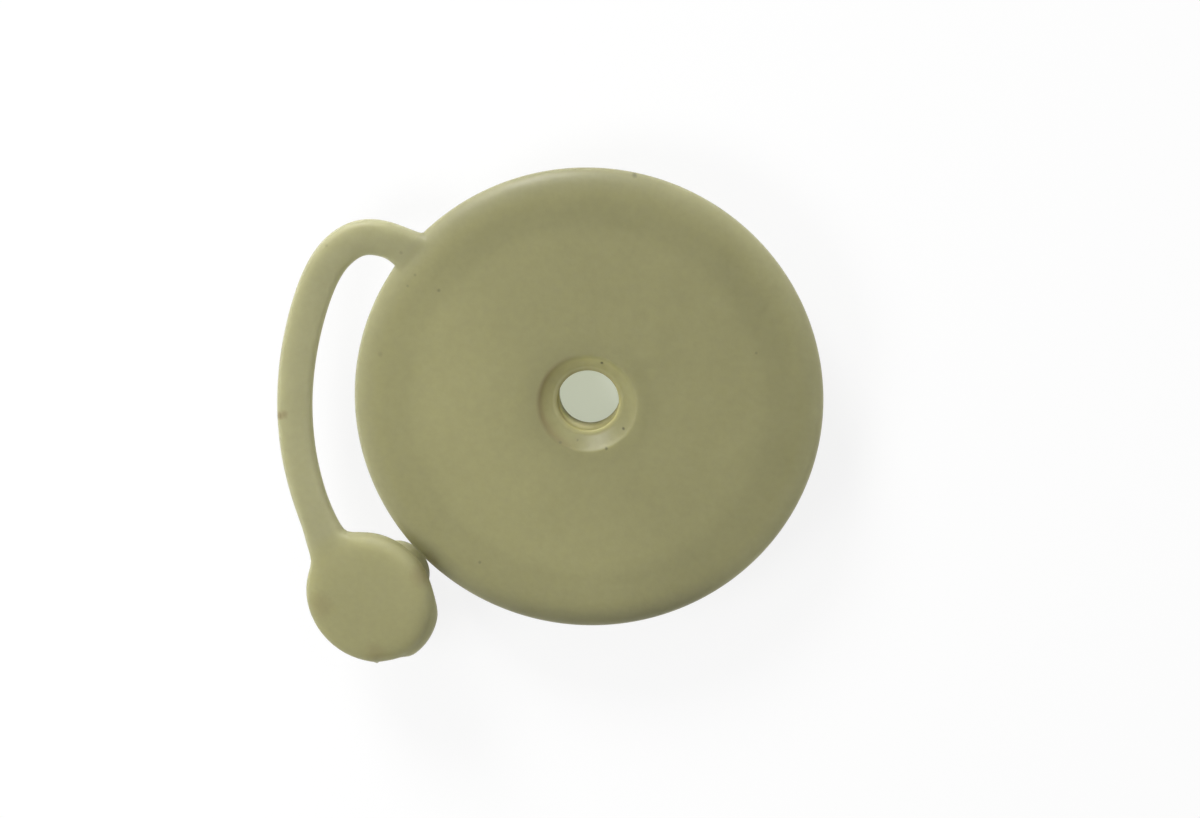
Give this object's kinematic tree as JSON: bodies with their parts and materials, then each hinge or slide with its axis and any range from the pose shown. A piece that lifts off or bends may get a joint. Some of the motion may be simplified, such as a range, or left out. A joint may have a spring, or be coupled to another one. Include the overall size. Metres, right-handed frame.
{
  "type": "rubber bung",
  "caption": "Flanged rubber bung with a short hollow plug, a countersunk vent hole and a strap that carries the vent's own push-in cap.",
  "frame": {"origin": "centre of the flange's seat, on the axis of the vent hole, inside the hole's wall", "axes": "+Z along the vent hole, out through the top face; +X and +Y across the flange; the strap leaves it at 140 degrees from +X and runs round to the cap at 222 degrees"},
  "size_m": [0.0582, 0.0538, 0.0136],
  "materials": {
    "rubber": "milky olive-cream moulded rubber, faintly translucent, satin, with small dark specks and a brown tinge round the vent hole"
  },
  "bodies": {
    "root": {"bung": "rubber"}
  },
  "joints": []
}
